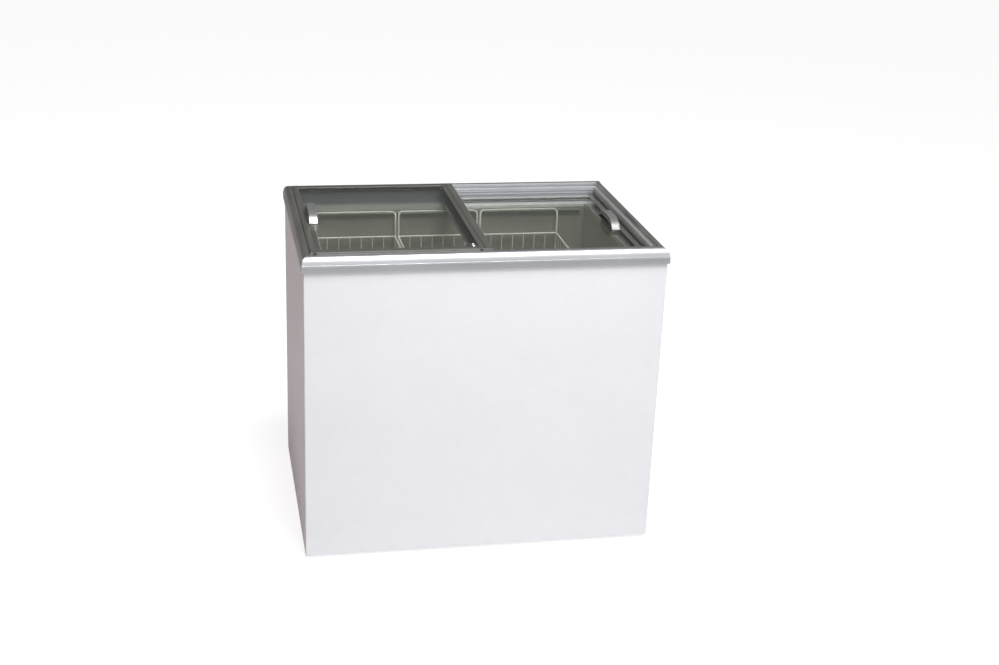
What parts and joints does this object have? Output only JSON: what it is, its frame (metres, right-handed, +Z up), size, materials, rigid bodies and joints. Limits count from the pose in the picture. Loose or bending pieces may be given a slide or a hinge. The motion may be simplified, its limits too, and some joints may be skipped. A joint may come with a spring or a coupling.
{
  "type": "chest freezer",
  "caption": "Waist-high insulated chest freezer with a metal rim, overlapping sliding glass lids, hanging wire baskets and a compressor under the tank's raised end",
  "frame": {"origin": "centre of the footprint, on the floor under the feet", "axes": "+X to the right along the width seen from the front, +Y to the back, +Z up; the front faces -Y"},
  "size_m": [1.01, 0.74, 0.9249],
  "materials": {
    "white_panel": "semi-gloss coated sheet",
    "grey_panel": "semi-gloss coated sheet",
    "galvanised_sheet": "dull zinc",
    "foam": null,
    "tank_sheet": "stucco-embossed, satin",
    "copper_tube": "drawn copper tube",
    "white_plastic": "satin moulding",
    "rim_aluminium": "satin anodised extrusion",
    "track_plastic": "grey extruded vinyl with a satin skin",
    "screw_steel": "zinc plated",
    "ledge_aluminium": "satin anodised",
    "dark_plastic": "fine grained moulding",
    "black_paint": "satin black",
    "rubber": "matt",
    "glass": "clear tempered pane with a faint green tint",
    "upper_frame": "dark grey anodised extrusion",
    "lower_frame": "satin anodised extrusion",
    "brush_fibre": "dense nylon brush strip",
    "handle_plastic": "silver grey satin moulding",
    "slide_plastic": "low friction acetal",
    "lock_metal": "plated die casting",
    "coated_wire": "white plastic coated wire"
  },
  "bodies": {
    "cabinet": {"outer_wrap": "white_panel", "rear_panel": "grey_panel", "base_pan": "galvanised_sheet", "foam_block": "foam", "liner": "tank_sheet", "evaporator_coil": "copper_tube", "condenser_coil": "copper_tube", "compartment_wall": "galvanised_sheet", "liner_collar": "white_plastic", "rim_front": "rim_aluminium", "rim_rear": "rim_aluminium", "rim_left": "rim_aluminium", "rim_right": "rim_aluminium", "track_front": "track_plastic", "track_rear": "track_plastic", "track_left": "track_plastic", "track_right": "track_plastic", "lock_keeper": "screw_steel", "rim_screws": "screw_steel", "basket_rail_front": "ledge_aluminium", "basket_rail_rear": "ledge_aluminium", "feet": "dark_plastic", "compressor_plate": "galvanised_sheet", "compressor_shell": "black_paint", "compressor_grommets": "rubber", "compressor_bolts": "screw_steel", "relay_cover": "dark_plastic", "filter_drier": "copper_tube", "suction_line": "copper_tube", "discharge_line": "copper_tube", "rear_grille": "grey_panel", "grille_screws": "screw_steel", "thermostat_body": "white_plastic", "cord_gland": "dark_plastic", "drain_pipe": "white_plastic"},
    "upper_lid": {"upper_glass": "glass", "upper_front_rail": "upper_frame", "upper_rear_rail": "upper_frame", "upper_end_stile": "upper_frame", "upper_meeting_stile": "upper_frame", "upper_brush": "brush_fibre", "upper_handle": "handle_plastic", "upper_corner_blocks": "dark_plastic", "upper_glides": "slide_plastic", "lock_housing": "lock_metal"},
    "lower_lid": {"lower_glass": "glass", "lower_front_rail": "lower_frame", "lower_rear_rail": "lower_frame", "lower_end_stile": "lower_frame", "lower_meeting_stile": "lower_frame", "lower_handle": "handle_plastic", "lower_glides": "slide_plastic"},
    "lock": {"lock_barrel": "lock_metal"},
    "knob": {"thermostat_knob": "dark_plastic"},
    "drain_plug_body": {"drain_plug": "rubber"},
    "drain_cap_body": {"drain_cap": "dark_plastic"},
    "left_basket": {"basket_left": "coated_wire"},
    "middle_basket": {"basket_middle": "coated_wire"},
    "right_basket": {"basket_right": "coated_wire"}
  },
  "joints": [
    {"name": "upper_lid_slide", "type": "slide", "parent": "cabinet", "child": "upper_lid", "axis": [1, 0, 0], "range_m": [0, 0.405]},
    {"name": "lower_lid_slide", "type": "slide", "parent": "cabinet", "child": "lower_lid", "axis": [1, 0, 0], "range_m": [-0.405, 0]},
    {"name": "lock_turn", "type": "hinge", "parent": "upper_lid", "child": "lock", "pos_m": [-0.035, -0.3, 0.885], "axis": [0, 0, 1], "range_deg": [0, 90]},
    {"name": "knob_turn", "type": "hinge", "parent": "cabinet", "child": "knob", "pos_m": [0.454, 0.348, 0.178], "axis": [0, 1, 0], "range_deg": [-150, 150]},
    {"name": "drain_plug_pull", "type": "slide", "parent": "cabinet", "child": "drain_plug_body", "axis": [0, 0, 1], "range_m": [0, 0.06]},
    {"name": "drain_cap_pull", "type": "slide", "parent": "cabinet", "child": "drain_cap_body", "axis": [0, 1, 0], "range_m": [0, 0.03]},
    {"name": "left_basket_slide", "type": "slide", "parent": "cabinet", "child": "left_basket", "axis": [1, 0, 0], "range_m": [-0.016, 0.0035]},
    {"name": "middle_basket_slide", "type": "slide", "parent": "cabinet", "child": "middle_basket", "axis": [1, 0, 0], "range_m": [-0.0035, 0.0035]},
    {"name": "right_basket_slide", "type": "slide", "parent": "cabinet", "child": "right_basket", "axis": [1, 0, 0], "range_m": [-0.0035, 0.086]}
  ]
}
